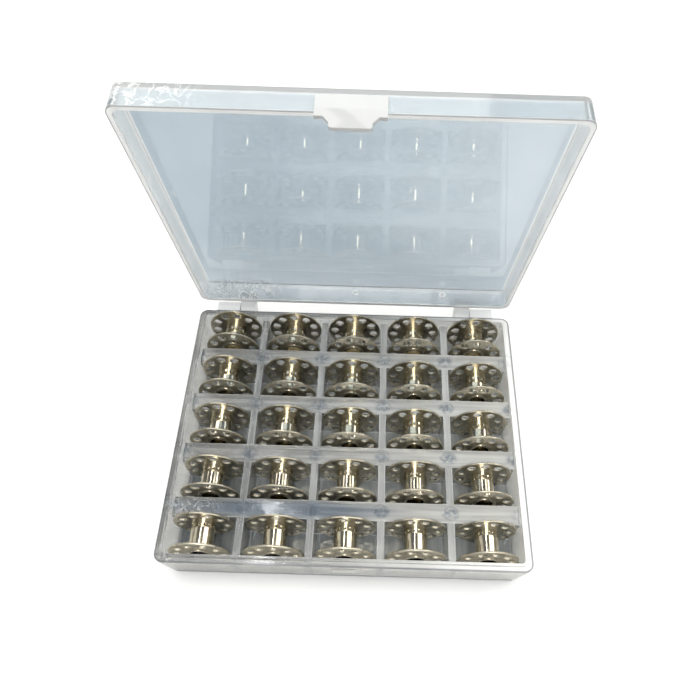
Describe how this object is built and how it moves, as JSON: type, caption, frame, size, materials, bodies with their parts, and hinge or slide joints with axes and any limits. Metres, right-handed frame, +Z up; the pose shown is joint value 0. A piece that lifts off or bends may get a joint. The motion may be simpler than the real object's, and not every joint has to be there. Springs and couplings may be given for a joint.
{
  "type": "bobbin storage box",
  "caption": "Clear moulded plastic storage box with a hinged snap lid and a grid of cells, each holding a metal sewing machine bobbin on edge.",
  "frame": {"origin": "centre of the tray's footprint, on the surface that the tray stands on", "axes": "+X runs along the hinge, to the right seen from the catch; +Y points from the catch to the hinge; +Z points up"},
  "size_m": [0.123, 0.1155, 0.1207],
  "materials": {
    "clear_plastic": "clear glossy moulded plastic",
    "plated_steel": "bright nickel plate"
  },
  "bodies": {
    "tray": {"tray": "clear_plastic"},
    "lid": {"lid": "clear_plastic"},
    "bobbin_1_1": {"bobbin_1_1_tube": "plated_steel", "bobbin_1_1_discs": "plated_steel"},
    "bobbin_1_2": {"bobbin_1_2_tube": "plated_steel", "bobbin_1_2_discs": "plated_steel"},
    "bobbin_1_3": {"bobbin_1_3_tube": "plated_steel", "bobbin_1_3_discs": "plated_steel"},
    "bobbin_1_4": {"bobbin_1_4_tube": "plated_steel", "bobbin_1_4_discs": "plated_steel"},
    "bobbin_1_5": {"bobbin_1_5_tube": "plated_steel", "bobbin_1_5_discs": "plated_steel"},
    "bobbin_2_1": {"bobbin_2_1_tube": "plated_steel", "bobbin_2_1_discs": "plated_steel"},
    "bobbin_2_2": {"bobbin_2_2_tube": "plated_steel", "bobbin_2_2_discs": "plated_steel"},
    "bobbin_2_3": {"bobbin_2_3_tube": "plated_steel", "bobbin_2_3_discs": "plated_steel"},
    "bobbin_2_4": {"bobbin_2_4_tube": "plated_steel", "bobbin_2_4_discs": "plated_steel"},
    "bobbin_2_5": {"bobbin_2_5_tube": "plated_steel", "bobbin_2_5_discs": "plated_steel"},
    "bobbin_3_1": {"bobbin_3_1_tube": "plated_steel", "bobbin_3_1_discs": "plated_steel"},
    "bobbin_3_2": {"bobbin_3_2_tube": "plated_steel", "bobbin_3_2_discs": "plated_steel"},
    "bobbin_3_3": {"bobbin_3_3_tube": "plated_steel", "bobbin_3_3_discs": "plated_steel"},
    "bobbin_3_4": {"bobbin_3_4_tube": "plated_steel", "bobbin_3_4_discs": "plated_steel"},
    "bobbin_3_5": {"bobbin_3_5_tube": "plated_steel", "bobbin_3_5_discs": "plated_steel"},
    "bobbin_4_1": {"bobbin_4_1_tube": "plated_steel", "bobbin_4_1_discs": "plated_steel"},
    "bobbin_4_2": {"bobbin_4_2_tube": "plated_steel", "bobbin_4_2_discs": "plated_steel"},
    "bobbin_4_3": {"bobbin_4_3_tube": "plated_steel", "bobbin_4_3_discs": "plated_steel"},
    "bobbin_4_4": {"bobbin_4_4_tube": "plated_steel", "bobbin_4_4_discs": "plated_steel"},
    "bobbin_4_5": {"bobbin_4_5_tube": "plated_steel", "bobbin_4_5_discs": "plated_steel"},
    "bobbin_5_1": {"bobbin_5_1_tube": "plated_steel", "bobbin_5_1_discs": "plated_steel"},
    "bobbin_5_2": {"bobbin_5_2_tube": "plated_steel", "bobbin_5_2_discs": "plated_steel"},
    "bobbin_5_3": {"bobbin_5_3_tube": "plated_steel", "bobbin_5_3_discs": "plated_steel"},
    "bobbin_5_4": {"bobbin_5_4_tube": "plated_steel", "bobbin_5_4_discs": "plated_steel"},
    "bobbin_5_5": {"bobbin_5_5_tube": "plated_steel", "bobbin_5_5_discs": "plated_steel"}
  },
  "joints": [
    {"name": "lid_hinge", "type": "hinge", "parent": "tray", "child": "lid", "pos_m": [0, 0.05415, 0.015], "axis": [-1, 0, 0], "range_deg": [-77, 103]},
    {"name": "bobbin_1_1_lift", "type": "slide", "parent": "tray", "child": "bobbin_1_1", "axis": [0, 0, 1], "range_m": [0, 0.028]},
    {"name": "bobbin_1_2_lift", "type": "slide", "parent": "tray", "child": "bobbin_1_2", "axis": [0, 0, 1], "range_m": [0, 0.028]},
    {"name": "bobbin_1_3_lift", "type": "slide", "parent": "tray", "child": "bobbin_1_3", "axis": [0, 0, 1], "range_m": [0, 0.028]},
    {"name": "bobbin_1_4_lift", "type": "slide", "parent": "tray", "child": "bobbin_1_4", "axis": [0, 0, 1], "range_m": [0, 0.028]},
    {"name": "bobbin_1_5_lift", "type": "slide", "parent": "tray", "child": "bobbin_1_5", "axis": [0, 0, 1], "range_m": [0, 0.028]},
    {"name": "bobbin_2_1_lift", "type": "slide", "parent": "tray", "child": "bobbin_2_1", "axis": [0, 0, 1], "range_m": [0, 0.028]},
    {"name": "bobbin_2_2_lift", "type": "slide", "parent": "tray", "child": "bobbin_2_2", "axis": [0, 0, 1], "range_m": [0, 0.028]},
    {"name": "bobbin_2_3_lift", "type": "slide", "parent": "tray", "child": "bobbin_2_3", "axis": [0, 0, 1], "range_m": [0, 0.028]},
    {"name": "bobbin_2_4_lift", "type": "slide", "parent": "tray", "child": "bobbin_2_4", "axis": [0, 0, 1], "range_m": [0, 0.028]},
    {"name": "bobbin_2_5_lift", "type": "slide", "parent": "tray", "child": "bobbin_2_5", "axis": [0, 0, 1], "range_m": [0, 0.028]},
    {"name": "bobbin_3_1_lift", "type": "slide", "parent": "tray", "child": "bobbin_3_1", "axis": [0, 0, 1], "range_m": [0, 0.028]},
    {"name": "bobbin_3_2_lift", "type": "slide", "parent": "tray", "child": "bobbin_3_2", "axis": [0, 0, 1], "range_m": [0, 0.028]},
    {"name": "bobbin_3_3_lift", "type": "slide", "parent": "tray", "child": "bobbin_3_3", "axis": [0, 0, 1], "range_m": [0, 0.028]},
    {"name": "bobbin_3_4_lift", "type": "slide", "parent": "tray", "child": "bobbin_3_4", "axis": [0, 0, 1], "range_m": [0, 0.028]},
    {"name": "bobbin_3_5_lift", "type": "slide", "parent": "tray", "child": "bobbin_3_5", "axis": [0, 0, 1], "range_m": [0, 0.028]},
    {"name": "bobbin_4_1_lift", "type": "slide", "parent": "tray", "child": "bobbin_4_1", "axis": [0, 0, 1], "range_m": [0, 0.028]},
    {"name": "bobbin_4_2_lift", "type": "slide", "parent": "tray", "child": "bobbin_4_2", "axis": [0, 0, 1], "range_m": [0, 0.028]},
    {"name": "bobbin_4_3_lift", "type": "slide", "parent": "tray", "child": "bobbin_4_3", "axis": [0, 0, 1], "range_m": [0, 0.028]},
    {"name": "bobbin_4_4_lift", "type": "slide", "parent": "tray", "child": "bobbin_4_4", "axis": [0, 0, 1], "range_m": [0, 0.028]},
    {"name": "bobbin_4_5_lift", "type": "slide", "parent": "tray", "child": "bobbin_4_5", "axis": [0, 0, 1], "range_m": [0, 0.028]},
    {"name": "bobbin_5_1_lift", "type": "slide", "parent": "tray", "child": "bobbin_5_1", "axis": [0, 0, 1], "range_m": [0, 0.028]},
    {"name": "bobbin_5_2_lift", "type": "slide", "parent": "tray", "child": "bobbin_5_2", "axis": [0, 0, 1], "range_m": [0, 0.028]},
    {"name": "bobbin_5_3_lift", "type": "slide", "parent": "tray", "child": "bobbin_5_3", "axis": [0, 0, 1], "range_m": [0, 0.028]},
    {"name": "bobbin_5_4_lift", "type": "slide", "parent": "tray", "child": "bobbin_5_4", "axis": [0, 0, 1], "range_m": [0, 0.028]},
    {"name": "bobbin_5_5_lift", "type": "slide", "parent": "tray", "child": "bobbin_5_5", "axis": [0, 0, 1], "range_m": [0, 0.028]}
  ]
}
